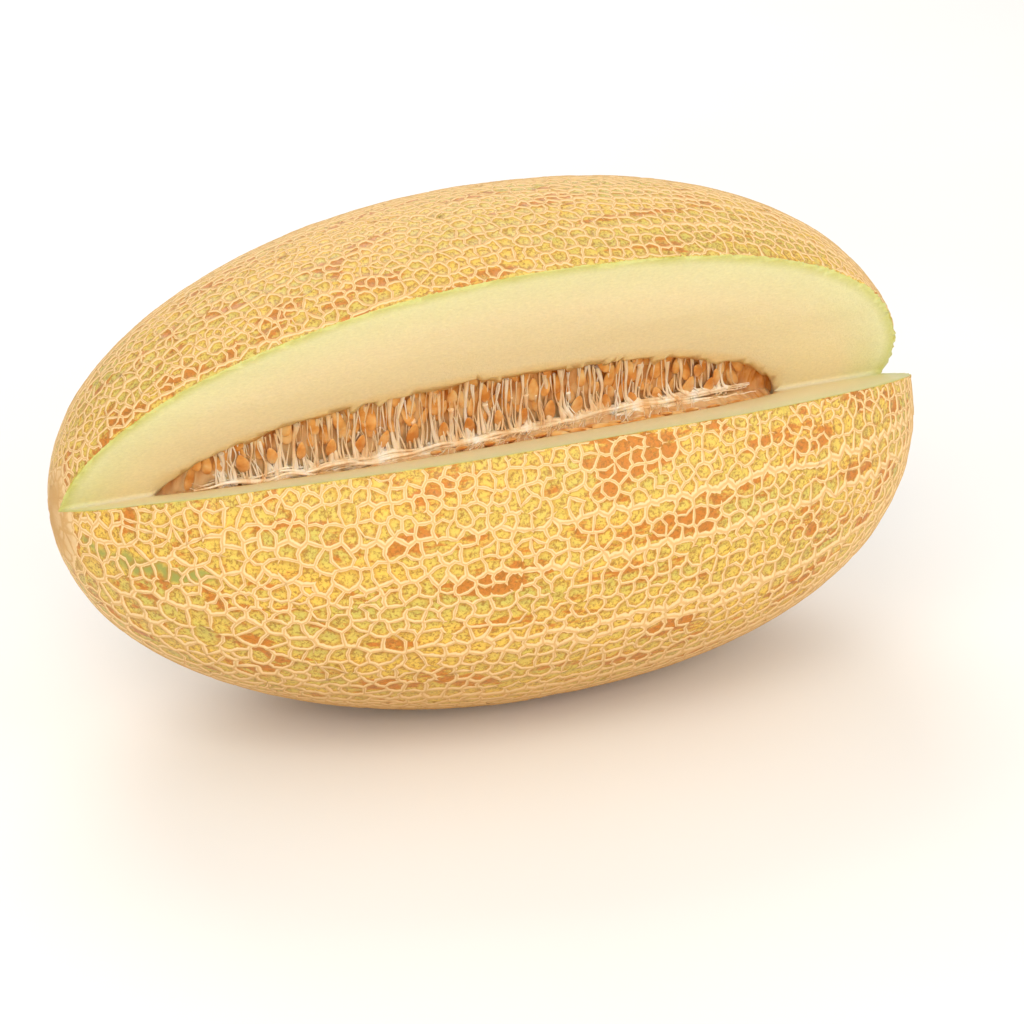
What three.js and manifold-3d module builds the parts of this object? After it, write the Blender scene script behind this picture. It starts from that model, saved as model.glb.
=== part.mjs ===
// A long netted melon lying on its side, with one lengthwise wedge cut out of it.
// The wedge shows the pale flesh and the seed cavity, with its pulp, core strand and seeds.
// Millimetres, +Z up. X runs along the melon, the cut faces -Y, and Z = 0 is the resting spot.
import * as THREE from "three";
import { mergeVertices } from "three/addons/utils/BufferGeometryUtils.js";
import Module from "manifold-3d";

// --- driving dimensions -----------------------------------------------------------------
const LENGTH = 360;
const RADIUS = 103; // at the belly
const BELLY_X = 5; // the widest ring sits a little towards the blunt end
const POINTED_END = { power: 1.9, root: 2.06 };
const BLUNT_END = { power: 2.3, root: 2.4, dimpleDepth: 4.5, dimpleRadius: 14 };
const REST_FLAT = 2; // how far the skin is flattened where the melon lies

const CUT_LOW = THREE.MathUtils.degToRad(20.3); // the wedge's two faces, above the horizontal
const CUT_HIGH = THREE.MathUtils.degToRad(62);
const CUT_APEX = 5; // how far the knife stopped short of the axis

const CAVITY = { radius: 43, middleX: -8, pointedReach: 134, bluntReach: 136, bluntPower: 3.2 };
const GAP = 0.4; // clearance between neighbouring solids

const PULP_FRONT = THREE.MathUtils.degToRad(72); // the upper lobe's open face
const PULP_BACK = THREE.MathUtils.degToRad(205); // where the two lobes meet behind the core
const PULP_LOW = THREE.MathUtils.degToRad(377.5); // the lower lobe's open face, under the cut
const LOBE_GAP = THREE.MathUtils.degToRad(2);
const CORE = { radius: 3.2, reach: 124, rise: 2.6 };

const SEED = { length: 12.4, width: 5.4, thickness: 2, taper: 0.22, steps: 6, facets: 8 };
const SEED_ROWS = [
  { name: "upper", count: 20, start: -100, end: 100, radius: 29, angle: 66 },
  { name: "middle", count: 18, start: -106, end: 96, radius: 15.5, angle: 59 },
  { name: "lower", count: 14, start: -30, end: 112, radius: 24, angle: 24.5 },
];

const SEED_SCATTER = { along: 1.2, out: 1.5, tilt: 0.22, roll: 0.12, fromWall: 2 };

const AROUND = 60; // facets round the melon
const ALONG = 38; // facets along it
const AXIS_Z = RADIUS - REST_FLAT;
const FAR = 2 * LENGTH; // larger than anything that a tool has to cut

const wasm = await Module();
wasm.setup();

// --- solids and meshes ------------------------------------------------------------------
const solidOf = (geometry) => {
  const bare = new THREE.BufferGeometry();
  bare.setAttribute("position", geometry.getAttribute("position"));
  if (geometry.index) bare.setIndex(geometry.index);
  const merged = mergeVertices(bare, 1e-4);
  return new wasm.Manifold(
    new wasm.Mesh({
      numProp: 3,
      vertProperties: new Float32Array(merged.getAttribute("position").array),
      triVerts: new Uint32Array(merged.index.array),
    }),
  );
};

const geometryOf = (solid) => {
  const { numProp, numVert, vertProperties, triVerts } = solid.getMesh();
  const positions = new Float32Array(numVert * 3);
  for (let v = 0; v < numVert; v++) {
    positions.set(vertProperties.subarray(v * numProp, v * numProp + 3), v * 3);
  }
  const geometry = new THREE.BufferGeometry();
  geometry.setAttribute("position", new THREE.BufferAttribute(positions, 3));
  geometry.setIndex(new THREE.BufferAttribute(new Uint32Array(triVerts), 1));
  geometry.computeVertexNormals();
  return geometry;
};

// A profile of (x, radius) pairs from the low end to the high end, turned round the melon's axis.
const turned = (profile, facets) => {
  const points = profile.map(([x, r]) => new THREE.Vector2(Math.max(r, 0), x));
  const lathe = new THREE.LatheGeometry(points, facets);
  return lathe.rotateZ(-Math.PI / 2).translate(0, 0, AXIS_Z);
};

// Radius and distance along, from one end to the other, evenly spaced in angle.
const ovalProfile = (steps, middleX, reachOf, radiusOf) =>
  Array.from({ length: steps + 1 }, (_, i) => {
    const cosine = -Math.cos((Math.PI * i) / steps);
    return [middleX + reachOf(cosine) * cosine, radiusOf(Math.abs(cosine), cosine > 0)];
  });

// A point in the plane across the melon: distance from the axis and angle above the front.
const across = (radius, angle) => [-radius * Math.cos(angle), radius * Math.sin(angle)];

// A sector across the melon between two angles, drawn out along X, with its corner at (y, z).
const sector = (from, to, cornerY, cornerZ) => {
  const shape = new THREE.Shape().moveTo(cornerY, cornerZ);
  const steps = Math.ceil((to - from) / (Math.PI / 6));
  for (let i = 0; i <= steps; i++) {
    const [y, z] = across(FAR, from + ((to - from) * i) / steps);
    shape.lineTo(cornerY + y, cornerZ + z);
  }
  const prism = new THREE.ExtrudeGeometry(shape, { depth: FAR, bevelEnabled: false });
  prism.applyMatrix4(new THREE.Matrix4().makeBasis(
    new THREE.Vector3(0, 1, 0),
    new THREE.Vector3(0, 0, 1),
    new THREE.Vector3(1, 0, 0),
  ));
  return solidOf(prism.translate(-FAR / 2, 0, AXIS_Z));
};

// --- the melon --------------------------------------------------------------------------
const skinProfile = () => {
  const { dimpleDepth, dimpleRadius } = BLUNT_END;
  const profile = ovalProfile(
    ALONG,
    BELLY_X,
    (cosine) => LENGTH / 2 - Math.sign(cosine) * BELLY_X,
    (u, blunt) => {
      const { power, root } = blunt ? BLUNT_END : POINTED_END;
      return RADIUS * (1 - u ** power) ** (1 / root);
    },
  );
  return profile.map(([x, r]) =>
    x > BELLY_X ? [x - dimpleDepth * Math.exp(-((r / dimpleRadius) ** 2)), r] : [x, r],
  );
};

const cavityProfile = (inset, steps) =>
  ovalProfile(
    steps,
    CAVITY.middleX,
    (cosine) => (cosine > 0 ? CAVITY.bluntReach : CAVITY.pointedReach) - inset,
    (u, blunt) => (CAVITY.radius - inset) * Math.sqrt(1 - u ** (blunt ? CAVITY.bluntPower : 2)),
  );

const cavityRadiusAt = (x) => {
  const blunt = x > CAVITY.middleX;
  const u = Math.abs(x - CAVITY.middleX) / (blunt ? CAVITY.bluntReach : CAVITY.pointedReach);
  return CAVITY.radius * Math.sqrt(Math.max(0, 1 - u ** (blunt ? CAVITY.bluntPower : 2)));
};

const makeMelon = () => {
  const floor = new THREE.BoxGeometry(FAR, FAR, FAR).translate(0, 0, -FAR / 2);
  const [apexY, apexZ] = across(CUT_APEX, (CUT_LOW + CUT_HIGH) / 2);
  return solidOf(turned(skinProfile(), AROUND))
    .subtract(solidOf(floor))
    .subtract(sector(CUT_LOW, CUT_HIGH, apexY, apexZ))
    .subtract(solidOf(turned(cavityProfile(0, 28), 32)));
};

// --- what the cavity holds --------------------------------------------------------------
const coreProfile = (extra) =>
  ovalProfile(
    14,
    0,
    () => CORE.reach + extra,
    (u) => (CORE.radius + extra) * Math.sqrt(1 - u ** 4),
  );

const makeCore = (extra = 0) => solidOf(turned(coreProfile(extra), 8).translate(0, 0, CORE.rise));

const makePulp = (from, to) =>
  solidOf(turned(cavityProfile(GAP, 24), 32))
    .intersect(sector(from, to, 0, 0))
    .subtract(makeCore(GAP));

// A seed: a drop along Z, pointed at its lower end and flattened along Y.
const seedGeometry = () => {
  const profile = Array.from({ length: SEED.steps + 1 }, (_, i) => {
    const turn = (Math.PI * i) / SEED.steps;
    const belly = Math.sin(turn) * (1 - SEED.taper * Math.cos(turn));
    const onAxis = i === 0 || i === SEED.steps;
    return new THREE.Vector2(onAxis ? 0 : belly / 2, -Math.cos(turn) / 2);
  });
  const drop = new THREE.LatheGeometry(profile, SEED.facets);
  return drop.rotateX(Math.PI / 2).scale(SEED.width, SEED.thickness, SEED.length);
};

// A repeatable number from -1 to 1 for the seed of that place in that row.
const scatter = (row, place, what) => {
  const wave = Math.sin(row * 127.1 + place * 311.7 + what * 74.7) * 43758.5453;
  return 2 * (wave - Math.floor(wave)) - 1;
};

const melonSkin = new THREE.MeshStandardMaterial({ color: 0xdcb45c, roughness: 0.75 });
const wetPulp = new THREE.MeshStandardMaterial({ color: 0xc98a4e, roughness: 0.3 });
const coreStrand = new THREE.MeshStandardMaterial({ color: 0xe6cfa6, roughness: 0.4 });
const seedCoat = new THREE.MeshStandardMaterial({ color: 0xe09a4a, roughness: 0.35 });

const melonGroup = new THREE.Group();

const addPiece = (name, geometry, material) => {
  const mesh = new THREE.Mesh(geometry, material);
  mesh.name = name;
  melonGroup.add(mesh);
  return mesh;
};

addPiece("melon", geometryOf(makeMelon()), melonSkin);
addPiece("pulp_upper", geometryOf(makePulp(PULP_FRONT, PULP_BACK)), wetPulp);
addPiece("pulp_lower", geometryOf(makePulp(PULP_BACK + LOBE_GAP, PULP_LOW)), wetPulp);
addPiece("core_strand", geometryOf(makeCore()), coreStrand);

SEED_ROWS.forEach((row, rowIndex) => {
  const spacing = (row.end - row.start) / (row.count - 1);
  for (let place = 0; place < row.count; place++) {
    const jitter = (what) => scatter(rowIndex, place, what);
    const x = row.start + place * spacing + SEED_SCATTER.along * jitter(1);
    const room = cavityRadiusAt(x) - SEED.length / 2 - SEED_SCATTER.fromWall;
    const radius = Math.min(row.radius + SEED_SCATTER.out * jitter(2), room);
    const angle = THREE.MathUtils.degToRad(row.angle);
    const [y, z] = across(radius, angle);
    const seed = addPiece(
      `seed_${row.name}_${String(place + 1).padStart(2, "0")}`,
      seedGeometry(),
      seedCoat,
    );
    seed.position.set(x, y, AXIS_Z + z);
    const tilt = SEED_SCATTER.tilt * jitter(3);
    const roll = SEED_SCATTER.roll * jitter(4);
    seed.rotation.set(Math.PI / 2 - angle, tilt, roll);
  }
});

export default melonGroup;
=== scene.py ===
"""A long netted melon with a wedge cut out of it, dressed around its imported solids.

The melon lies along X, its cut faces -Y and it rests on Z = 0. Every length is in metres unless
its name ends in _mm. An angle round the melon starts at the front, -Y, and grows upwards.
"""

from __future__ import annotations

import logging
import math
from collections.abc import Mapping, Sequence
from dataclasses import dataclass, field
from enum import Enum
from typing import Any

import bmesh
import bpy
import numpy as np
from mathutils import Euler, Matrix, Vector
from mathutils.geometry import delaunay_2d_cdt

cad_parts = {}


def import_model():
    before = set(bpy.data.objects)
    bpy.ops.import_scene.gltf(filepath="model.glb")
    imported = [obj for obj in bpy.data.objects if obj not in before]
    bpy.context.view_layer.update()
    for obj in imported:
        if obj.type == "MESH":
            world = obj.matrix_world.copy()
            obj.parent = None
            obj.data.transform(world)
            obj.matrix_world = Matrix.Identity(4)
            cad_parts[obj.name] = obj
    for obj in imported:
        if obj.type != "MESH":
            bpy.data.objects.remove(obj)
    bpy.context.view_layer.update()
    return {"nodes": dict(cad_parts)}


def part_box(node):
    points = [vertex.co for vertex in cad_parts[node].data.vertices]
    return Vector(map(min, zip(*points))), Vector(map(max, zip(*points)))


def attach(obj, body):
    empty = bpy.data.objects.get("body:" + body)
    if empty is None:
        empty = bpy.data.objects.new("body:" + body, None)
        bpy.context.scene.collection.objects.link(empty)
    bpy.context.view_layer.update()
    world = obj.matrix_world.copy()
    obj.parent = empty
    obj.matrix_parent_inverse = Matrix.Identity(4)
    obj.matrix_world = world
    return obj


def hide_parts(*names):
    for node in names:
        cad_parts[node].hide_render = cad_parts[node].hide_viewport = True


LOG = logging.getLogger("melon")
MM = 0.001
BODY = "root"
UPPER_FACE = math.radians(69)
LOWER_FACE = math.radians(18.6)
FIBRE_FACE = math.radians(65)
LOWER_CROWN_MM = 6.5
BAND_POINTS = 90
FIBRE_POINTS = 16
FAN_POINTS = 14
TIP_CORNERS = 9
ROW_BITS = 7


class Slot(Enum):
    """The record's material slots."""

    RIND = "rind_and_flesh"
    PULP = "pulp"
    STRAND = "strand"
    SEED = "seed"


# --- small tools --------------------------------------------------------------------------
def linear(colour: str) -> tuple[float, float, float, float]:
    """Turns an sRGB hex colour into the linear one that shaders take.

    Args:
        colour: A colour such as "#E0B070".

    Returns:
        Linear red, green, blue and an alpha of 1.
    """
    parts = [int(colour[i : i + 2], 16) / 255 for i in (1, 3, 5)]
    red, green, blue = (c / 12.92 if c <= 0.04045 else ((c + 0.055) / 1.055) ** 2.4 for c in parts)
    return red, green, blue, 1.0


def hashed(cells: np.ndarray, seed: int) -> np.ndarray:
    """Gives each whole-number cell its own repeatable value from -1 to 1.

    Args:
        cells: An array of shape (n, 3) of whole numbers.
        seed: Which set of values to draw from.

    Returns:
        An array of n values.
    """
    mixed = cells[:, 0] * 73856093 ^ cells[:, 1] * 19349663 ^ cells[:, 2] * 83492791
    mixed = (mixed ^ seed * 2654435761) & 0x7FFFFFFF
    mixed = (mixed ^ mixed >> 13) * 1274126177 & 0x7FFFFFFF
    mixed = (mixed ^ mixed >> 15) * 461845907 & 0x7FFFFFFF
    return ((mixed ^ mixed >> 16) & 0xFFFF) / 32767.5 - 1


def noise(points: np.ndarray, size: float | Sequence[float], seed: int) -> np.ndarray:
    """Smooth noise from -1 to 1 at a number of points.

    Args:
        points: An array of shape (n, 3).
        size: The noise's grain along each axis, in the points' unit.
        seed: Which noise.

    Returns:
        An array of n values.
    """
    scaled = points / np.asarray(size)
    cell = np.floor(scaled).astype(np.int64)
    local = scaled - cell
    fade = local * local * (3 - 2 * local)
    total = np.zeros(len(points))
    for corner in range(8):
        offset = np.array([corner & 1, corner >> 1 & 1, corner >> 2])
        weight = np.prod(np.where(offset == 1, fade, 1 - fade), axis=1)
        total += weight * hashed(cell + offset, seed)
    return total


def smooth(low: float, high: float, value: np.ndarray) -> np.ndarray:
    """Rises smoothly from 0 at low to 1 at high, or falls if high is below low."""
    t = np.clip((value - low) / (high - low), 0, 1)
    return t * t * (3 - 2 * t)


def add_node(
    tree: bpy.types.NodeTree,
    kind: str,
    settings: Mapping[str, Any] | None = None,
    values: Mapping[Any, Any] | None = None,
    links: Mapping[Any, bpy.types.NodeSocket] | None = None,
    stops: Sequence[tuple[float, Any]] = (),
) -> bpy.types.Node:
    """Adds one node to a tree, with its settings and links.

    Args:
        tree: The node tree.
        kind: The node's type name.
        settings: Properties of the node itself.
        values: Fixed values, by input name or number.
        links: Sockets that feed the node's inputs, by input name or number.
        stops: A colour ramp's stops, each a place and an sRGB hex colour or a grey level.

    Returns:
        The new node.
    """
    node = tree.nodes.new(kind)
    for name, value in (settings or {}).items():
        setattr(node, name, value)
    for key, value in (values or {}).items():
        node.inputs[key].default_value = value
    for key, socket in (links or {}).items():
        tree.links.new(socket, node.inputs[key])
    for i, (place, colour) in enumerate(stops):
        elements = node.color_ramp.elements
        stop = elements[i] if i < 2 else elements.new(place)
        stop.position = place
        stop.color = linear(colour) if isinstance(colour, str) else (colour, colour, colour, 1)
    return node


def mesh_object(
    name: str,
    points: np.ndarray,
    faces: Sequence[Sequence[int]],
    attributes: Mapping[str, np.ndarray] | None = None,
) -> bpy.types.Object:
    """Makes a smooth-shaded mesh object at the origin.

    Args:
        name: The object's name.
        points: Vertex places, an array of shape (n, 3).
        faces: Vertex numbers of each face.
        attributes: One number for each vertex, by attribute name.

    Returns:
        The object, linked to the scene.
    """
    mesh = bpy.data.meshes.new(name)
    mesh.from_pydata(points.tolist(), [], [list(map(int, face)) for face in faces])
    mesh.shade_smooth()
    for key, values in (attributes or {}).items():
        mesh.attributes.new(key, "FLOAT", "POINT").data.foreach_set("value", values.astype(np.float32))
    mesh.update()
    thing = bpy.data.objects.new(name, mesh)
    bpy.context.scene.collection.objects.link(thing)
    return thing


def vertex_places(thing: bpy.types.Object) -> np.ndarray:
    """Reads an object's vertex places as an array of shape (n, 3)."""
    places = np.empty(len(thing.data.vertices) * 3)
    thing.data.vertices.foreach_get("co", places)
    return places.reshape(-1, 3)


def set_attribute(thing: bpy.types.Object, name: str, values: np.ndarray) -> None:
    """Writes one number for each vertex of a mesh object under a name."""
    attributes = thing.data.attributes
    layer = attributes.get(name) or attributes.new(name, "FLOAT", "POINT")
    layer.data.foreach_set("value", values.astype(np.float32))


def applied(thing: bpy.types.Object, name: str) -> bpy.types.Object:
    """Turns an object with modifiers into a plain mesh object.

    Args:
        thing: The object with its modifiers.
        name: The plain object's name.

    Returns:
        The plain object. The first one is removed.
    """
    evaluated = thing.evaluated_get(bpy.context.evaluated_depsgraph_get())
    mesh = bpy.data.meshes.new_from_object(evaluated)
    mesh.name = name
    bpy.data.objects.remove(thing)
    plain = bpy.data.objects.new(name, mesh)
    bpy.context.scene.collection.objects.link(plain)
    return plain


# --- the melon's form ---------------------------------------------------------------------
@dataclass(frozen=True)
class MelonForm:
    """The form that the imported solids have: a turned profile, a turned cavity and a wedge.

    Attributes:
        radius: The melon's radius at its belly.
        axis_z: How high its axis lies.
        half_length: Half of its length, without the blunt end's dimple.
    """

    radius: float
    axis_z: float
    half_length: float
    belly_x: float = 5 * MM
    pointed: tuple[float, float] = (1.9, 1 / 2.06)
    blunt: tuple[float, float] = (2.3, 1 / 2.4)
    dimple_depth: float = 4.5 * MM
    dimple_radius: float = 14 * MM
    cut_low: float = math.radians(20.3)
    cut_high: float = math.radians(62)
    cut_apex: float = 5 * MM
    cavity_radius: float = 43 * MM
    cavity_middle: float = -8 * MM
    cavity_reach: tuple[float, float] = (134 * MM, 136 * MM)
    cavity_powers: tuple[float, float] = (2.0, 3.2)

    @classmethod
    def from_frame(cls) -> MelonForm:
        """Reads the melon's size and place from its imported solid."""
        low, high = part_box("melon")
        radius = high[1]
        return cls(radius=radius, axis_z=high[2] - radius, half_length=-low[0])

    def skin_profile(self, steps: int = 3000) -> tuple[np.ndarray, np.ndarray]:
        """The skin's places along the axis and its radii, from the pointed end to the blunt one."""
        cosine = -np.cos(np.linspace(0, math.pi, steps + 1))
        reach = self.half_length - np.sign(cosine) * self.belly_x
        power = np.where(cosine > 0, self.blunt[0], self.pointed[0])
        root = np.where(cosine > 0, self.blunt[1], self.pointed[1])
        radii = self.radius * np.maximum(1 - np.abs(cosine) ** power, 0) ** root
        x = self.belly_x + reach * cosine
        dimple = self.dimple_depth * np.exp(-((radii / self.dimple_radius) ** 2))
        return np.where(cosine > 0, x - dimple, x), radii

    def cavity_radius_at(self, x: np.ndarray) -> np.ndarray:
        """The seed cavity's radius at places along the axis."""
        right = x > self.cavity_middle
        reach = np.where(right, self.cavity_reach[1], self.cavity_reach[0])
        power = np.where(right, self.cavity_powers[1], self.cavity_powers[0])
        u = np.abs(x - self.cavity_middle) / reach
        return self.cavity_radius * np.sqrt(np.maximum(1 - u**power, 0))

    def place(self, x: np.ndarray, radius: np.ndarray, angle: np.ndarray) -> np.ndarray:
        """Points from their place along the axis, radius and angle, as an array of shape (n, 3)."""
        x, radius, angle = np.broadcast_arrays(x, radius, angle)
        across = radius * -np.cos(angle)
        return np.column_stack([x.ravel(), across.ravel(), (self.axis_z + radius * np.sin(angle)).ravel()])

    def polar(self, points: np.ndarray) -> tuple[np.ndarray, np.ndarray]:
        """The radius and angle of points round the axis."""
        height = points[:, 2] - self.axis_z
        return np.hypot(points[:, 1], height), np.arctan2(height, -points[:, 1])

    def depth(self, points: np.ndarray) -> np.ndarray:
        """How far each point lies from the skin, measured straight to it."""
        x, r = self.skin_profile(360)
        radius, _ = self.polar(points)
        nearest = np.full(len(points), np.inf)
        for i in range(len(x)):
            nearest = np.minimum(nearest, np.hypot(points[:, 0] - x[i], radius - r[i]))
        return nearest


# --- finishes -----------------------------------------------------------------------------
@dataclass(frozen=True)
class Finish:
    """A finish with a name. Each kind builds its own material."""

    name: str

    def start(self) -> tuple[bpy.types.Material, bpy.types.NodeTree, bpy.types.NodeSocket]:
        """Begins a material.

        Returns:
            The material, its tree without its first nodes, and the Object coordinates.
        """
        material = bpy.data.materials.new(self.name)
        material.use_nodes = True
        tree = material.node_tree
        tree.nodes.clear()
        return material, tree, add_node(tree, "ShaderNodeTexCoord").outputs["Object"]

    def end(
        self,
        tree: bpy.types.NodeTree,
        values: Mapping[str, Any],
        links: Mapping[str, bpy.types.NodeSocket],
    ) -> None:
        """Closes a material with its surface shader."""
        shader = add_node(tree, "ShaderNodeBsdfPrincipled", values=values, links=links)
        add_node(tree, "ShaderNodeOutputMaterial", links={"Surface": shader.outputs[0]})


@dataclass(frozen=True)
class NettedRind(Finish):
    """Ripe waxy skin, yellow to yellow-green, under dry tan cork that stands up in a net.

    The cork is rough and matt and the skin between it has the soft gloss of wax. The vertex
    attribute cork is 0 in the middle of a mesh of the net, 0.5 at the cork's foot and 1 on its crest.
    """

    skin: str = "#E8BF50"
    skin_green: str = "#CBBB5A"
    skin_orange: str = "#C4680E"
    speck: str = "#98641A"
    outline: str = "#BD7D25"
    shoulder: str = "#F0CE98"
    crest: str = "#DDB274"
    # Painted light: the pale cream laid on the upper skin.
    painted_top_light: str = "#F4D9A0"
    # Painted shade for the lower skin, and also the real brown of the scar at the pointed tip.
    scar_and_low_shade: str = "#AE7630"
    smooth_green: str = "#9A9A48"

    def build(self) -> bpy.types.Material:
        """Builds the material."""
        material, tree, place = self.start()
        long_patches = add_node(
            tree, "ShaderNodeMapping", values={"Scale": (0.28, 1, 1)}, links={"Vector": place}
        ).outputs[0]
        tint = add_node(
            tree,
            "ShaderNodeTexNoise",
            values={"Scale": 44, "Detail": 4, "Roughness": 0.65},
            links={"Vector": long_patches},
        ).outputs[0]
        patches = add_node(
            tree,
            "ShaderNodeTexNoise",
            values={"Scale": 84, "Detail": 6, "Roughness": 0.66, "Distortion": 0.3},
            links={"Vector": long_patches},
        ).outputs[0]
        grain = add_node(
            tree, "ShaderNodeTexNoise", values={"Scale": 900, "Detail": 4}, links={"Vector": place}
        ).outputs[0]
        skin = add_node(
            tree,
            "ShaderNodeValToRGB",
            links={0: tint},
            stops=[(0.36, self.skin), (0.62, self.skin_green)],
        ).outputs[0]
        orange = add_node(
            tree, "ShaderNodeValToRGB", links={0: patches}, stops=[(0.54, 0.0), (0.59, 0.85)]
        ).outputs[0]
        skin = add_node(
            tree,
            "ShaderNodeMix",
            {"data_type": "RGBA"},
            {7: linear(self.skin_orange)},
            {0: orange, 6: skin},
        ).outputs[2]
        specks = add_node(
            tree,
            "ShaderNodeTexNoise",
            values={"Scale": 700, "Detail": 3, "Roughness": 0.7},
            links={"Vector": place},
        ).outputs[0]
        speck_mask = add_node(
            tree, "ShaderNodeValToRGB", links={0: specks}, stops=[(0.47, 0.0), (0.62, 0.8)]
        ).outputs[0]
        skin = add_node(
            tree, "ShaderNodeMix", {"data_type": "RGBA"}, {7: linear(self.speck)}, {0: speck_mask, 6: skin}
        ).outputs[2]
        green = add_node(tree, "ShaderNodeAttribute", {"attribute_name": "bare"}).outputs["Fac"]
        skin = add_node(
            tree,
            "ShaderNodeMix",
            {"data_type": "RGBA"},
            {7: linear(self.smooth_green)},
            {0: green, 6: skin},
        ).outputs[2]

        cork = add_node(tree, "ShaderNodeAttribute", {"attribute_name": "cork"}).outputs["Fac"]
        wobble = add_node(
            tree,
            "ShaderNodeMath",
            {"operation": "MULTIPLY_ADD"},
            {1: 0.22},
            {0: grain, 2: cork},
        ).outputs[0]
        cork_colour = add_node(
            tree,
            "ShaderNodeValToRGB",
            links={0: wobble},
            stops=[(0.58, self.shoulder), (0.85, self.shoulder), (1.0, self.crest)],
        ).outputs[0]
        outline_mask = add_node(
            tree,
            "ShaderNodeValToRGB",
            links={0: wobble},
            stops=[(0.4, 0.0), (0.54, 0.5), (0.6, 0.5), (0.68, 0.0)],
        ).outputs[0]
        cork_mask = add_node(
            tree, "ShaderNodeValToRGB", links={0: wobble}, stops=[(0.58, 0.0), (0.66, 1.0)]
        ).outputs[0]
        both = add_node(
            tree, "ShaderNodeMix", {"data_type": "RGBA"}, links={0: cork_mask, 6: skin, 7: cork_colour}
        ).outputs[2]
        both = add_node(
            tree,
            "ShaderNodeMix",
            {"data_type": "RGBA"},
            {7: linear(self.outline)},
            {0: outline_mask, 6: both},
        ).outputs[2]

        # Painted light: the skin is mixed towards a pale cream the higher it lies.
        height = add_node(tree, "ShaderNodeSeparateXYZ", links={0: place}).outputs["Z"]
        top_light_mask = add_node(
            tree,
            "ShaderNodeMapRange",
            values={"From Min": 0.1, "From Max": 0.2, "To Min": 0.0, "To Max": 0.06},
            links={0: height},
        ).outputs[0]
        both = add_node(
            tree, "ShaderNodeMix", {"data_type": "RGBA"}, {7: linear(self.painted_top_light)}, {0: top_light_mask, 6: both}
        ).outputs[2]
        # Painted shade: the skin is darkened brown towards the bottom, near the table. The same brown also
        # marks the real corky scar at the pointed tip.
        low = add_node(
            tree,
            "ShaderNodeMapRange",
            values={"From Min": 0.0, "From Max": 0.06, "To Min": 0.5, "To Max": 0.0},
            links={0: height},
        ).outputs[0]
        scar = add_node(tree, "ShaderNodeAttribute", {"attribute_name": "scar"}).outputs["Fac"]
        scar_and_low_shade_mask = add_node(
            tree, "ShaderNodeMath", {"operation": "MAXIMUM"}, links={0: low, 1: scar}
        ).outputs[0]
        both = add_node(
            tree, "ShaderNodeMix", {"data_type": "RGBA"}, {7: linear(self.scar_and_low_shade)}, {0: scar_and_low_shade_mask, 6: both}
        ).outputs[2]
        roughness = add_node(
            tree,
            "ShaderNodeMapRange",
            values={"To Min": 0.42, "To Max": 0.8},
            links={0: cork_mask},
        ).outputs[0]
        bump = add_node(
            tree,
            "ShaderNodeBump",
            values={"Strength": 0.35, "Distance": 0.0004},
            links={"Height": grain},
        ).outputs[0]
        self.end(
            tree,
            {"Specular IOR Level": 0.4, "Subsurface Weight": 0.06, "Subsurface Scale": 0.004},
            {"Base Color": both, "Roughness": roughness, "Normal": bump},
        )
        return material


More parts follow.
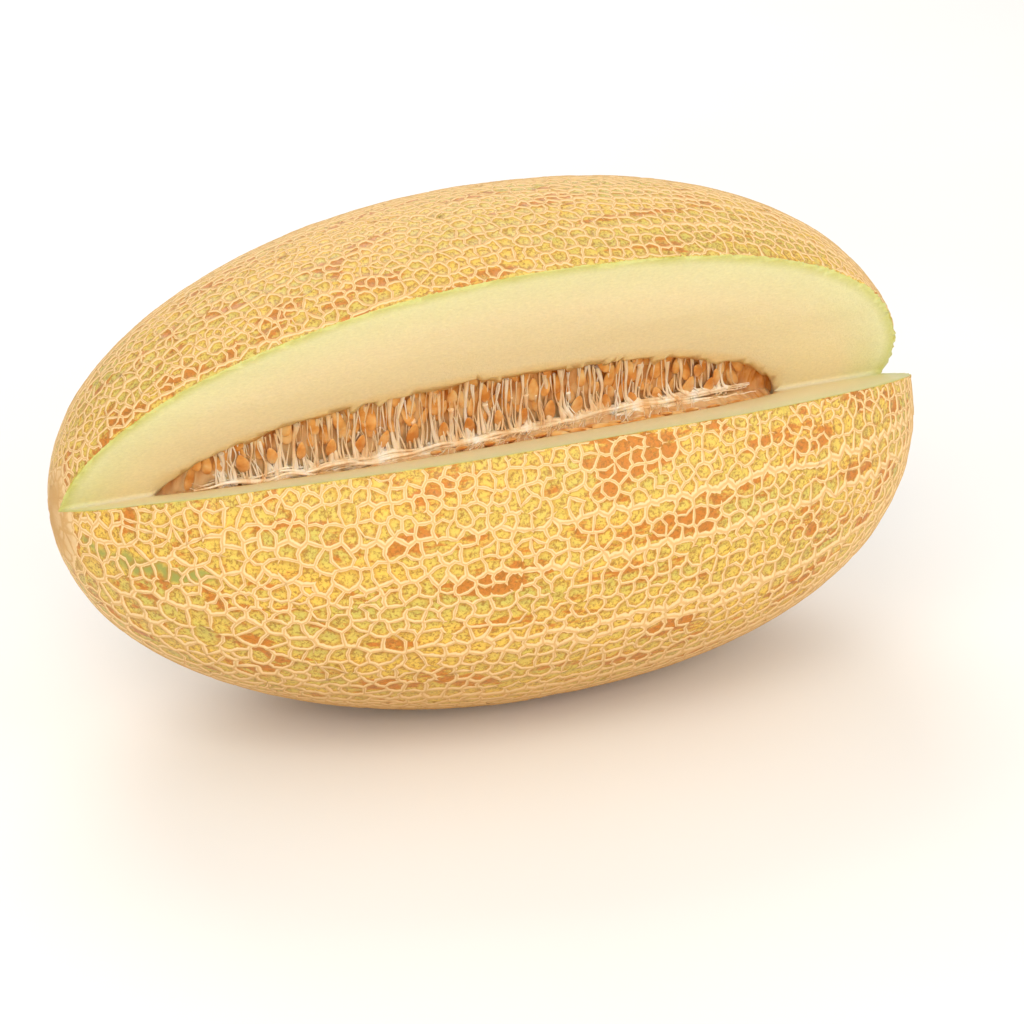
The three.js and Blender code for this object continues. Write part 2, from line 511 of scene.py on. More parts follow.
@dataclass(frozen=True)
class CutFlesh(Finish):
    """Crisp juicy flesh, cut with a knife: cream, green by the rind and orange at the cavity.

    Light goes some way into it, and its wet cells give it a fine grainy gloss. The attribute
    depth is the distance from the skin and the attribute seedward grows to 1 at the cavity.
    """

    rind_line: str = "#B7AE48"
    green: str = "#CDCB7E"
    pale: str = "#E4DFAE"
    cream: str = "#EEDFB6"
    inner: str = "#ECCB86"
    cavity: str = "#D99A50"

    def build(self) -> bpy.types.Material:
        """Builds the material."""
        material, tree, place = self.start()
        depth = add_node(tree, "ShaderNodeAttribute", {"attribute_name": "depth"}).outputs["Fac"]
        seedward = add_node(tree, "ShaderNodeAttribute", {"attribute_name": "seedward"}).outputs["Fac"]
        cloud = add_node(
            tree, "ShaderNodeTexNoise", values={"Scale": 70, "Detail": 4}, links={"Vector": place}
        ).outputs[0]
        fibres = add_node(
            tree, "ShaderNodeMapping", values={"Scale": (0.55, 1, 1)}, links={"Vector": place}
        ).outputs[0]
        grain = add_node(
            tree,
            "ShaderNodeTexNoise",
            values={"Scale": 1100, "Detail": 3, "Roughness": 0.6},
            links={"Vector": fibres},
        ).outputs[0]
        cells = add_node(
            tree, "ShaderNodeTexNoise", values={"Scale": 1500, "Detail": 2}, links={"Vector": place}
        ).outputs[0]
        uneven = add_node(
            tree, "ShaderNodeMath", {"operation": "MULTIPLY_ADD"}, {1: 0.0028}, {0: cloud, 2: depth}
        ).outputs[0]
        across = add_node(
            tree,
            "ShaderNodeMapRange",
            values={"From Min": 0.0014, "From Max": 0.0414},
            links={0: uneven},
        ).outputs[0]
        colour = add_node(
            tree,
            "ShaderNodeValToRGB",
            links={0: across},
            stops=[
                (0.0, self.rind_line),
                (0.012, self.green),
                (0.03, self.green),
                (0.13, self.pale),
                (0.6, self.cream),
            ],
        ).outputs[0]
        warm = add_node(
            tree,
            "ShaderNodeMath",
            {"operation": "MULTIPLY_ADD"},
            {1: 0.25, 2: -0.13},
            {0: cloud},
        ).outputs[0]
        warm = add_node(
            tree, "ShaderNodeMath", {"operation": "ADD"}, links={0: warm, 1: seedward}
        ).outputs[0]
        inner_mask = add_node(
            tree, "ShaderNodeValToRGB", links={0: warm}, stops=[(0.72, 0.0), (1.0, 0.75)]
        ).outputs[0]
        colour = add_node(
            tree, "ShaderNodeMix", {"data_type": "RGBA"}, {7: linear(self.inner)}, {0: inner_mask, 6: colour}
        ).outputs[2]
        edge_mask = add_node(
            tree, "ShaderNodeValToRGB", links={0: warm}, stops=[(0.97, 0.0), (1.0, 0.6)]
        ).outputs[0]
        colour = add_node(
            tree, "ShaderNodeMix", {"data_type": "RGBA"}, {7: linear(self.cavity)}, {0: edge_mask, 6: colour}
        ).outputs[2]
        shade = add_node(
            tree, "ShaderNodeMapRange", values={"To Min": 0.85, "To Max": 1.12}, links={0: grain}
        ).outputs[0]
        colour = add_node(
            tree, "ShaderNodeVectorMath", {"operation": "SCALE"}, links={0: colour, "Scale": shade}
        ).outputs[0]
        relief = add_node(tree, "ShaderNodeMath", {"operation": "ADD"}, links={0: grain, 1: cells}).outputs[0]
        bump = add_node(
            tree, "ShaderNodeBump", values={"Strength": 0.5, "Distance": 0.0005}, links={"Height": relief}
        ).outputs[0]
        self.end(
            tree,
            {
                "Roughness": 0.38,
                "IOR": 1.36,
                "Subsurface Weight": 0.3,
                "Subsurface Radius": (1.0, 0.7, 0.35),
                "Subsurface Scale": 0.006,
            },
            {"Base Color": colour, "Normal": bump},
        )
        return material


@dataclass(frozen=True)
class WetPulp(Finish):
    """Soft wet tissue of two hues that fade into each other, with fibres drawn one way.

    A film of juice gives it a sharp gloss over a soft, light-filled body.
    """

    light: str = "#F2C484"
    middle: str = "#D68E3E"
    dark: str = "#B4601C"
    web: str = "#EFD2A0"
    glow: float = 0.35
    glow_depth: float = 0.0025
    stretch: tuple[float, float, float] = (1, 0.25, 0.25)
    scale: float = 210

    def build(self) -> bpy.types.Material:
        """Builds the material."""
        material, tree, place = self.start()
        drawn = add_node(
            tree, "ShaderNodeMapping", values={"Scale": self.stretch}, links={"Vector": place}
        ).outputs[0]
        tint = add_node(
            tree,
            "ShaderNodeTexNoise",
            values={"Scale": self.scale, "Detail": 5, "Roughness": 0.62, "Distortion": 0.3},
            links={"Vector": drawn},
        ).outputs[0]
        colour = add_node(
            tree,
            "ShaderNodeValToRGB",
            links={0: tint},
            stops=[(0.33, self.dark), (0.5, self.middle), (0.64, self.light)],
        ).outputs[0]
        pale = add_node(tree, "ShaderNodeAttribute", {"attribute_name": "pale"}).outputs["Fac"]
        colour = add_node(
            tree, "ShaderNodeMix", {"data_type": "RGBA"}, {7: linear(self.web)}, {0: pale, 6: colour}
        ).outputs[2]
        bump = add_node(
            tree, "ShaderNodeBump", values={"Strength": 0.5, "Distance": 0.0006}, links={"Height": tint}
        ).outputs[0]
        self.end(
            tree,
            {
                "Roughness": 0.24,
                "IOR": 1.36,
                "Subsurface Weight": self.glow,
                "Subsurface Radius": (1.0, 0.6, 0.3),
                "Subsurface Scale": self.glow_depth,
                "Coat Weight": 0.3,
                "Coat Roughness": 0.12,
            },
            {"Base Color": colour, "Normal": bump},
        )
        return material


@dataclass(frozen=True)
class SeedCoat(Finish):
    """The slippery tan skin of a melon seed, lighter along its middle, wet with juice."""

    light: str = "#F8D294"
    middle: str = "#EFB365"
    dark: str = "#D98F40"

    def build(self) -> bpy.types.Material:
        """Builds the material."""
        material, tree, place = self.start()
        tint = add_node(
            tree,
            "ShaderNodeTexNoise",
            values={"Scale": 130, "Detail": 3, "Roughness": 0.5},
            links={"Vector": place},
        ).outputs[0]
        colour = add_node(
            tree,
            "ShaderNodeValToRGB",
            links={0: tint},
            stops=[(0.36, self.dark), (0.5, self.middle), (0.66, self.light)],
        ).outputs[0]
        streaks = add_node(
            tree, "ShaderNodeMapping", values={"Scale": (1, 0.3, 0.3)}, links={"Vector": place}
        ).outputs[0]
        grain = add_node(
            tree, "ShaderNodeTexNoise", values={"Scale": 1600, "Detail": 2}, links={"Vector": streaks}
        ).outputs[0]
        bump = add_node(
            tree, "ShaderNodeBump", values={"Strength": 0.2, "Distance": 0.0002}, links={"Height": grain}
        ).outputs[0]
        self.end(
            tree,
            {
                "Roughness": 0.3,
                "IOR": 1.45,
                "Subsurface Weight": 0.2,
                "Subsurface Radius": (1.0, 0.6, 0.3),
                "Subsurface Scale": 0.002,
                "Coat Weight": 0.5,
                "Coat Roughness": 0.1,
            },
            {"Base Color": colour, "Normal": bump},
        )
        return material


@dataclass(frozen=True)
class PaleTable(Finish):
    """A plain off-white board, matt and nearly even."""

    colour: str = "#F3F2F0"
    cloud: str = "#EEEDEB"

    def build(self) -> bpy.types.Material:
        """Builds the material."""
        material, tree, place = self.start()
        tint = add_node(tree, "ShaderNodeTexNoise", values={"Scale": 3, "Detail": 2}, links={"Vector": place})
        colour = add_node(
            tree,
            "ShaderNodeValToRGB",
            links={0: tint.outputs[0]},
            stops=[(0.3, self.cloud), (0.7, self.colour)],
        ).outputs[0]
        self.end(tree, {"Roughness": 0.6}, {"Base Color": colour})
        return material


# --- the rind, its net and the cut flesh ---------------------------------------------------
@dataclass
class NettedMelon:
    """The melon's own body: skin with its raised net outside, and flesh where it is cut.

    The net is the border between cells round points that lie in rows along the melon. Far apart
    rows end towards the tips. Every few rows a long stream of thick cork runs between two rows.
    """

    form: MelonForm
    spacing_mm: float = 6.1
    top_shrink_mm: float = 1.2
    step_ratio: float = 1.12
    stream_every: int = 4
    crest_mm: float = 0.75
    worn_from: float = 0.84
    tip_radius_mm: float = 7.0
    cut_step: float = 3.6 * MM
    seed: int = 11
    x: np.ndarray = field(init=False)
    r: np.ndarray = field(init=False)
    arc: np.ndarray = field(init=False)
    flat: np.ndarray = field(init=False)
    normal_x: np.ndarray = field(init=False)
    normal_r: np.ndarray = field(init=False)

    def __post_init__(self) -> None:
        """Works out the profile's length along the skin and its evenly scaled flat map."""
        self.x, self.r = self.form.skin_profile()
        pieces = np.hypot(np.diff(self.x), np.diff(self.r))
        middle = np.maximum((self.r[1:] + self.r[:-1]) / 2, 1e-7)
        self.arc = np.concatenate([[0], np.cumsum(pieces)])
        self.flat = np.concatenate([[0], np.cumsum(pieces / middle)])
        dx = np.gradient(self.x, self.arc)
        dr = np.gradient(self.r, self.arc)
        self.normal_x, self.normal_r = -dr, dx

    def on_skin(self, flat: np.ndarray, angle: np.ndarray, height: np.ndarray) -> np.ndarray:
        """Points over the skin, from their place on the flat map and their height over it."""
        x = np.interp(flat, self.flat, self.x) + height * np.interp(flat, self.flat, self.normal_x)
        r = np.interp(flat, self.flat, self.r) + height * np.interp(flat, self.flat, self.normal_r)
        return self.form.place(x, r, angle)

    def rows(self, rng: np.random.Generator) -> tuple[np.ndarray, np.ndarray]:
        """The rows' angles and, for each, the radius of the melon below which it ends."""
        fine = np.linspace(-math.pi, math.pi, 2001)
        spacing = (self.spacing_mm - self.top_shrink_mm * np.sin(fine)) * MM
        passed = np.concatenate([[0], np.cumsum(self.form.radius * np.diff(fine) / spacing[1:])])
        count = 4 * round(passed[-1] / 4)
        angles = np.interp((np.arange(count) + 0.5) / count * passed[-1], passed, fine)
        levels = 2**ROW_BITS
        order = np.array([int(format(i, f"0{ROW_BITS}b")[::-1], 2) for i in range(levels)]) / levels
        ends = order[(np.arange(count) * levels) // count]
        ends = ends * self.form.radius + rng.uniform(-2, 2, count) * MM
        return angles, np.clip(ends, self.tip_radius_mm * MM, self.form.radius * 0.97)

    def cell_points(self) -> tuple[np.ndarray, np.ndarray, np.ndarray, np.ndarray]:
        """Scatters the points that the net's meshes grow round.

        Returns:
            Their place on the flat map, their angle, their row, and whether they only close an end.
        """
        rng = np.random.default_rng(self.seed)
        angles, ends = self.rows(rng)
        flats, turns, rows = [], [], []
        for row, (angle, end) in enumerate(zip(angles, ends)):
            inside = np.flatnonzero(self.r >= end)
            start, stop = self.arc[inside[0]], self.arc[inside[-1]]
            spacing = (self.spacing_mm - self.top_shrink_mm * math.sin(angle)) * MM
            step = spacing * self.step_ratio
            arc = np.arange(start + rng.uniform(0, step), stop, step)
            x = np.interp(arc, self.arc, self.x)
            loose = 1 - 0.75 * self.flow(x, np.full(len(x), angle))
            arc = arc + rng.uniform(-0.5, 0.5, len(arc)) * step * np.maximum(loose, 0.75)
            radius = np.interp(arc, self.arc, self.r)
            place = np.column_stack([x, radius * np.cos(angle), radius * np.sin(angle)])
            meander = 8 * MM * noise(place, 0.07, 3) + 2.4 * MM * noise(place, 0.02, 4)
            side = rng.uniform(-0.5, 0.5, len(arc)) * spacing * np.maximum(loose, 0.3)
            flats.append(np.interp(arc, self.arc, self.flat))
            turns.append(angle + (meander + side) / np.maximum(radius, 6 * MM))
            rows.append(np.full(len(arc), row))
        for tip in (0, -1):
            inside = np.flatnonzero(self.r >= self.tip_radius_mm * MM * 0.72)
            ring = np.arange(TIP_CORNERS) / TIP_CORNERS * 2 * math.pi - math.pi
            flats.append(np.full(TIP_CORNERS, self.flat[inside[tip]]))
            turns.append(ring + 0.1)
            rows.append(np.full(TIP_CORNERS, -1))
        flat, turn, row = (np.concatenate(part) for part in (flats, turns, rows))
        turn = (turn + math.pi) % (2 * math.pi) - math.pi
        return flat, turn, row, row < 0

    def flow(self, x: np.ndarray, angle: np.ndarray) -> np.ndarray:
        """How far the net runs in long streams at a place, from 0 to 1."""
        return np.clip(0.6 + x / 0.14 - 0.4 * np.sin(angle), 0.3, 1)

    def cells(self) -> dict[str, np.ndarray]:
        """Finds the meshes of the net.

        Returns:
            For each corner of each mesh, in order round it: the mesh's point, the numbers of this
            corner, of the next one and of the edge between them, and their places on the flat map.
        """
        flat, turn, row, closing = self.cell_points()
        count = len(flat)
        radius = np.interp(flat, self.flat, self.r)
        margin = np.minimum(6 * self.spacing_mm * MM / radius, math.pi)
        low, high = np.flatnonzero(turn < margin - math.pi), np.flatnonzero(turn > math.pi - margin)
        source = np.concatenate([np.arange(count), low, high])
        around = np.concatenate([turn, turn[low] + 2 * math.pi, turn[high] - 2 * math.pi])
        points = np.column_stack([flat[source], around])
        result = delaunay_2d_cdt([Vector(p) for p in points.tolist()], [], [], 0, 1e-9)
        origin = np.array([ids[0] for ids in result[3]])
        corners = origin[np.array(result[2])]
        centre = self.circumcentres(points[corners])
        keys, number = np.unique(np.sort(source[corners], axis=1), axis=0, return_inverse=True)
        number = number.ravel()

        site = corners.ravel()
        triangle = np.repeat(np.arange(len(corners)), 3)
        keep = (site < count) & ~closing[source[site]]
        site, triangle = site[keep], triangle[keep]
        spoke = centre[triangle] - points[site]
        order = np.lexsort((np.arctan2(spoke[:, 1], spoke[:, 0]), site))
        site, triangle = site[order], triangle[order]
        starts = np.flatnonzero(np.concatenate([[True], site[1:] != site[:-1]]))
        following = np.arange(len(site)) + 1
        following[np.concatenate([starts[1:], [len(site)]]) - 1] = starts
        others = source[corners[triangle]]
        others_next = others[following]
        shared = (others[:, :, None] == others_next[:, None, :]).any(axis=2) & (others != site[:, None])
        neighbour = others[np.arange(len(site)), np.argmax(shared, axis=1)]
        pair = np.column_stack([np.minimum(site, neighbour), np.maximum(site, neighbour)])
        _, first, edge = np.unique(pair, axis=0, return_index=True, return_inverse=True)
        return {
            "site": site,
            "corner": number[triangle],
            "edge": edge.ravel(),
            "first_edge": first,
            "following": following,
            "corner_place": centre[triangle],
            "site_place": points[site],
            "stream": self.on_stream(row[site], row[neighbour]),
            "rung": row[site] == row[neighbour],
            "corner_count": np.array(len(keys)),
        }

    def on_stream(self, row: np.ndarray, other: np.ndarray) -> np.ndarray:
        """Says which borders between two rows carry a stream of thick cork."""
        count = int(row.max()) + 1
        chosen = (hashed(np.column_stack([np.arange(count) // self.stream_every] * 3), 5) * 50).astype(int)
        passes = np.arange(count) % self.stream_every == np.abs(chosen) % self.stream_every
        passed = np.concatenate([[0], np.cumsum(passes)])
        return (passed[row] != passed[other]) & (other >= 0) & (np.abs(row - other) < count // 2)

    @staticmethod
    def circumcentres(triangles: np.ndarray) -> np.ndarray:
        """The centres of the circles through triangles' corners, in the plane."""
        a, b, c = triangles[:, 0], triangles[:, 1], triangles[:, 2]
        ab, ac = b - a, c - a
        cross = 2 * (ab[:, 0] * ac[:, 1] - ab[:, 1] * ac[:, 0])
        cross = np.where(np.abs(cross) < 1e-14, 1e-14, cross)
        ab2, ac2 = (ab**2).sum(axis=1), (ac**2).sum(axis=1)
        x = (ac[:, 1] * ab2 - ab[:, 1] * ac2) / cross
        y = (ab[:, 0] * ac2 - ac[:, 0] * ab2) / cross
        return a + np.column_stack([x, y])

    def ridge_half_width(self, place: np.ndarray, stream: np.ndarray, rung: np.ndarray) -> np.ndarray:
        """Half of the cork's width at places on the flat map."""
        x = np.interp(place[:, 0], self.flat, self.x)
        flow = self.flow(x, place[:, 1])
        plain = 0.8 - 0.2 * np.sin(place[:, 1])
        width = plain * (1 + flow * np.where(stream, 1.5, np.where(rung, -0.15, -0.05)))
        radius = np.interp(place[:, 0], self.flat, self.r)
        spot = np.column_stack([x, radius * np.cos(place[:, 1]), radius * np.sin(place[:, 1])])
        return width * (1 + 0.28 * noise(spot, 0.008, 8)) * MM

    def skin_mesh(self) -> bpy.types.Object:
        """Builds the whole closed skin with its net."""
        cells = self.cells()
        following, edge, corner = cells["following"], cells["edge"], cells["corner"]
        here = cells["corner_place"]
        beyond = here[following]
        width = self.ridge_half_width((here + beyond) / 2, cells["stream"], cells["rung"])
        first = cells["first_edge"]
        worn = (hashed(np.column_stack([edge] * 3), 77) > self.worn_from) & ~cells["stream"]
        width = np.where(worn, 0.25 * width, width)
        corners, edges = int(cells["corner_count"]), len(first)

        corner_place = np.zeros((corners, 2))
        corner_place[corner] = here
        corner_width = np.zeros(corners)
        share = np.bincount(corner, minlength=corners) + np.bincount(corner[following], minlength=corners)
        np.add.at(corner_width, corner, width)
        np.add.at(corner_width, corner[following], width)
        corner_width /= np.maximum(share, 1)
        radius = np.interp((here + beyond)[:, 0] / 2, self.flat, self.r)
        length = np.hypot(*(beyond - here).T) * radius
        bend = np.column_stack([-(beyond - here)[:, 1], (beyond - here)[:, 0]])
        waver = np.where(cells["stream"], 0.06, 0.22) * hashed(np.column_stack([edge] * 3), 21)
        bend *= (waver * np.minimum(1, length / (3 * MM)))[:, None]
        edge_place = ((here + beyond) / 2 + bend)[first]
        shift = edge_place[edge] - ((here + beyond) / 2 + bend)
        edge_here = edge_place[edge] - np.round(shift / (2 * math.pi)) * [0, 2 * math.pi]

        starts = np.flatnonzero(np.concatenate([[True], cells["site"][1:] != cells["site"][:-1]]))
        owner = np.cumsum(np.concatenate([[0], cells["site"][1:] != cells["site"][:-1]]))
        share = np.bincount(owner)
        middle = np.column_stack([np.bincount(owner, here[:, k]) / share for k in (0, 1)])
        foot_corner = self.towards(here, middle[owner], corner_width[corner] * 1.12)
        foot_edge = self.towards(edge_here, middle[owner], width[first][edge])

        crest = self.crest_height(corner_place, corner_width)
        crest_edge = self.crest_height(edge_place, width[first]) * np.where(worn[first], 0.15, 1)
        zero = np.zeros(len(here))
        dome = 0.12 * MM * np.ones(len(starts))
        points = np.vstack([
            self.on_skin(corner_place[:, 0], corner_place[:, 1], crest),
            self.on_skin(edge_place[:, 0], edge_place[:, 1], crest_edge),
            self.on_skin(foot_corner[:, 0], foot_corner[:, 1], zero),
            self.on_skin(foot_edge[:, 0], foot_edge[:, 1], zero),
            self.on_skin(middle[:, 0], middle[:, 1], dome),
        ])
        cork = np.concatenate([
            np.ones(corners),
            np.where(worn[first], 0.25, 1.0),
            np.full(len(here), 0.5),
            np.where(worn, 0.2, 0.5),
            np.zeros(len(starts)),
        ])
        one, two = corner, corners + edge
        three = corner[following]
        base = corners + edges
        foot = base + np.arange(len(here))
        foot_mid = base + len(here) + np.arange(len(here))
        foot_next = foot[following]
        centre = base + 2 * len(here) + owner
        quads = np.vstack([
            np.column_stack([one, two, foot_mid, foot]), np.column_stack([two, three, foot_next, foot_mid])
        ])
        fans = np.vstack([
            np.column_stack([foot, foot_mid, centre]), np.column_stack([foot_mid, foot_next, centre])
        ])
        points, cork, faces = self.close_tips(points, cork, quads.tolist() + fans.tolist())
        points[:, 2] = np.maximum(points[:, 2], 0)
        return self.cleaned(mesh_object("melon_body", points, faces, {"cork": cork}))

    def towards(self, place: np.ndarray, goal: np.ndarray, distance: np.ndarray) -> np.ndarray:
        """Moves places on the flat map towards others by real distances, at most 55% of the way."""
        radius = np.interp(place[:, 0], self.flat, self.r)
        way = goal - place
        length = np.hypot(way[:, 0], way[:, 1]) * radius
        return place + way * np.minimum(distance / np.maximum(length, 1e-9), 0.55)[:, None]

    def crest_height(self, place: np.ndarray, width: np.ndarray) -> np.ndarray:
        """How high the cork stands over the skin, lower on narrow ridges and at the pointed tip."""
        x = np.interp(place[:, 0], self.flat, self.x)
        height = self.crest_mm * MM * (0.35 + 0.65 * np.minimum(width / (0.9 * MM), 1.3))
        return height * (0.35 + 0.65 * smooth(-0.176, -0.160, x))

    def close_tips(
        self, points: np.ndarray, cork: np.ndarray, faces: list[list[int]]
    ) -> tuple[np.ndarray, np.ndarray, list[list[int]]]:
        """Closes the two holes at the tips with rings that run in to the axis."""
        edges: dict[tuple[int, int], int] = {}
        for face in faces:
            for a, b in zip(face, face[1:] + face[:1]):
                edges[(a, b)] = edges.get((a, b), 0) + 1
        rim = {a: b for a, b in edges if (b, a) not in edges}
        for tip in (0, -1):
            side = [v for v in rim if (points[v, 0] < 0) == (tip == 0)]
            loop = [side[0]]
            while rim[loop[-1]] != loop[0]:
                loop.append(rim[loop[-1]])
            radius, angle = self.form.polar(points[loop])
            for share in (0.66, 0.33):
                inner = self.tip_ring(radius * share, angle, tip)
                start = len(points)
                points = np.vstack([points, inner])
                cork = np.concatenate([cork, np.full(len(loop), 0.75)])
                ring = list(range(start, start + len(loop)))
                for k in range(len(loop)):
                    n = (k + 1) % len(loop)
                    faces.append([loop[n], loop[k], ring[k], ring[n]])
                loop = ring
            points = np.vstack([points, self.tip_ring(np.zeros(1), np.zeros(1), tip)])
            cork = np.append(cork, 0.8)
            for k in range(len(loop)):
                faces.append([loop[(k + 1) % len(loop)], loop[k], len(points) - 1])
        return points, cork, faces

    def tip_ring(self, radius: np.ndarray, angle: np.ndarray, tip: int) -> np.ndarray:
        """Points on the skin close to a tip, at given radii."""
        half = len(self.r) // 2
        x, r = (self.x[:half], self.r[:half]) if tip == 0 else (self.x[:half:-1], self.r[:half:-1])
        return self.form.place(np.interp(radius, r, x), radius, angle)

    @staticmethod
    def cleaned(thing: bpy.types.Object) -> bpy.types.Object:
        """Merges doubled vertices and turns every face outwards."""
        work = bmesh.new()
        work.from_mesh(thing.data)
        bmesh.ops.remove_doubles(work, verts=work.verts, dist=1e-6)
        bmesh.ops.recalc_face_normals(work, faces=work.faces)
        work.to_mesh(thing.data)
        work.free()
        return thing

    def knife_tool(self) -> bpy.types.Object:
        """Builds the wedge to take away. Its two faces carry the knife's fine waves."""
        form = self.form
        reach = 1.25 * form.radius
        along = np.arange(-1.08 * form.half_length, 1.08 * form.half_length, self.cut_step)
        out = np.concatenate([np.arange(0, reach, self.cut_step), [reach]])
        middle = (form.cut_low + form.cut_high) / 2
        outer = np.linspace(form.cut_low, form.cut_high, 6)[1:-1]
        angle = np.concatenate([np.full(len(out), form.cut_low), outer, np.full(len(out) - 1, form.cut_high)])
        distance = np.concatenate([out, np.full(4, reach), out[:0:-1]])
        side = np.concatenate([np.full(len(out), 1.0), np.zeros(4), np.full(len(out) - 1, -1.0)])
        x, a = np.meshgrid(along, angle, indexing="ij")
        d = np.broadcast_to(distance, x.shape)
        flat = np.column_stack([x.ravel(), d.ravel(), a.ravel() * 0.05])
        wave = 0.35 * MM * noise(flat, (0.07, 0.012, 1), 31) + 0.12 * MM * noise(flat, 0.004, 32)
        wave = (wave * np.broadcast_to(side, x.shape).ravel()) * smooth(0, 0.01, flat[:, 1])
        lift = form.cut_apex + 2.0 * MM * smooth(-0.05, 0.12, x.ravel())
        y = -np.cos(a.ravel()) * d.ravel() - lift * math.cos(middle) - wave * np.sin(a.ravel())
        z = np.sin(a.ravel()) * d.ravel() + lift * math.sin(middle) - wave * np.cos(a.ravel())
        points = np.column_stack([x.ravel(), y, z + form.axis_z])
        return mesh_object("knife_tool", points, self.loft_faces(len(along), len(angle), closed=True))

    @staticmethod
    def loft_faces(rings: int, around: int, closed: bool) -> list[list[int]]:
        """Faces between rings of points that follow each other, with an outline at each end."""
        faces = []
        for i in range(rings - 1):
            for j in range(around if closed else around - 1):
                k = (j + 1) % around
                a, b = i * around, (i + 1) * around
                faces.append([a + j, a + k, b + k, b + j])
        faces.append(list(range(around))[::-1])
        faces.append(list(range((rings - 1) * around, rings * around)))
        return faces

    def cavity_tool(self) -> bpy.types.Object:
        """Builds the seed cavity to take away, with the torn edge that pulp leaves."""
        form = self.form
        turns = np.linspace(0, 2 * math.pi, 26, endpoint=False)
        steps = -np.cos(np.linspace(0.04, math.pi - 0.04, 310))
        left, right = form.cavity_reach
        x = form.cavity_middle + np.where(steps < 0, left, right) * steps
        radius = form.cavity_radius_at(x)
        grid_x, grid_a = np.meshgrid(x, turns, indexing="ij")
        grid_r = np.broadcast_to(radius[:, None], grid_x.shape)
        turn = grid_a.ravel()
        spots = np.column_stack([grid_x.ravel(), np.cos(turn) * 0.04, np.sin(turn) * 0.04])
        torn = 0.7 * MM * noise(spots, (0.0035, 0.02, 0.02), 41) + 1.8 * MM * noise(spots, 0.014, 42)
        drip = np.maximum(noise(spots, (0.0038, 0.03, 0.03), 43) - 0.15, 0) * 6 * MM
        ragged = grid_r.ravel() * (1 + (torn - drip) / form.cavity_radius)
        points = form.place(grid_x.ravel(), ragged, grid_a.ravel())
        return self.cleaned(mesh_object("cavity_tool", points, self.loft_faces(len(x), len(turns), True)))

    def carve(self, body: bpy.types.Object, tool: bpy.types.Object) -> bpy.types.Object:
        """Takes a tool's space away from the body."""
        cut = body.modifiers.new("cut", "BOOLEAN")
        cut.operation = "DIFFERENCE"
        cut.solver = "MANIFOLD"
        cut.object = tool
        name = body.name
        result = applied(body, name + "_cut")
        bpy.data.objects.remove(tool)
        result.name = name
        return result

    def mark_regions(self, body: bpy.types.Object) -> None:
        """Writes what the finishes read: depth under the skin, nearness to the seeds and scars."""
        form = self.form
        points = vertex_places(body)
        radius, angle = form.polar(points)
        set_attribute(body, "depth", form.depth(points))
        left, right = form.cavity_reach
        nearest = np.clip(points[:, 0], form.cavity_middle - 0.95 * left, form.cavity_middle + 0.95 * right)
        beyond = np.abs(points[:, 0] - nearest)
        gap = np.hypot(np.maximum(radius - form.cavity_radius_at(nearest), 0), beyond)
        reach = 0.02 + 0.012 * smooth(0, 8 * MM, beyond)
        set_attribute(body, "seedward", 1 - np.clip(gap / reach, 0, 1))
        pole = np.hypot(points[:, 0] + form.half_length, radius)
        rough = noise(points, 0.006, 51) * 5 * MM
        set_attribute(body, "scar", 0.3 * smooth(0.022, 0.01, pole + rough))
        cork = np.empty(len(points), dtype=np.float32)
        body.data.attributes["cork"].data.foreach_get("value", cork)
        tip_cork = (0.82 + rough / (30 * MM)) * smooth(0.023, 0.015, pole + rough)
        set_attribute(body, "cork", np.maximum(cork, tip_cork))
        streak = np.column_stack([points[:, 0] + 0.155, radius * (angle + 0.12), np.zeros_like(radius)])
        away = np.hypot(streak[:, 0] / 0.022, streak[:, 1] / 0.0035) + 0.4 * noise(points, 0.004, 52)
        set_attribute(body, "bare", smooth(1.1, 0.8, away))

    def build(self, rind: bpy.types.Material, flesh: bpy.types.Material) -> bpy.types.Object:
        """Builds the melon's body and gives its skin and cut faces their finishes."""
        body = self.skin_mesh()
        LOG.info("skin: %d faces", len(body.data.polygons))
        body.data.materials.append(rind)
        body.data.materials.append(flesh)
        for tool in (self.knife_tool(), self.cavity_tool()):
            for material in (rind, flesh):
                tool.data.materials.append(material)
            tool.data.polygons.foreach_set("material_index", [1] * len(tool.data.polygons))
            body = self.carve(self.cleaned(body), self.cleaned(tool))
            LOG.info("cut skin: %d faces", len(body.data.polygons))
        self.mark_regions(body)
        body.data.shade_smooth()
        return body


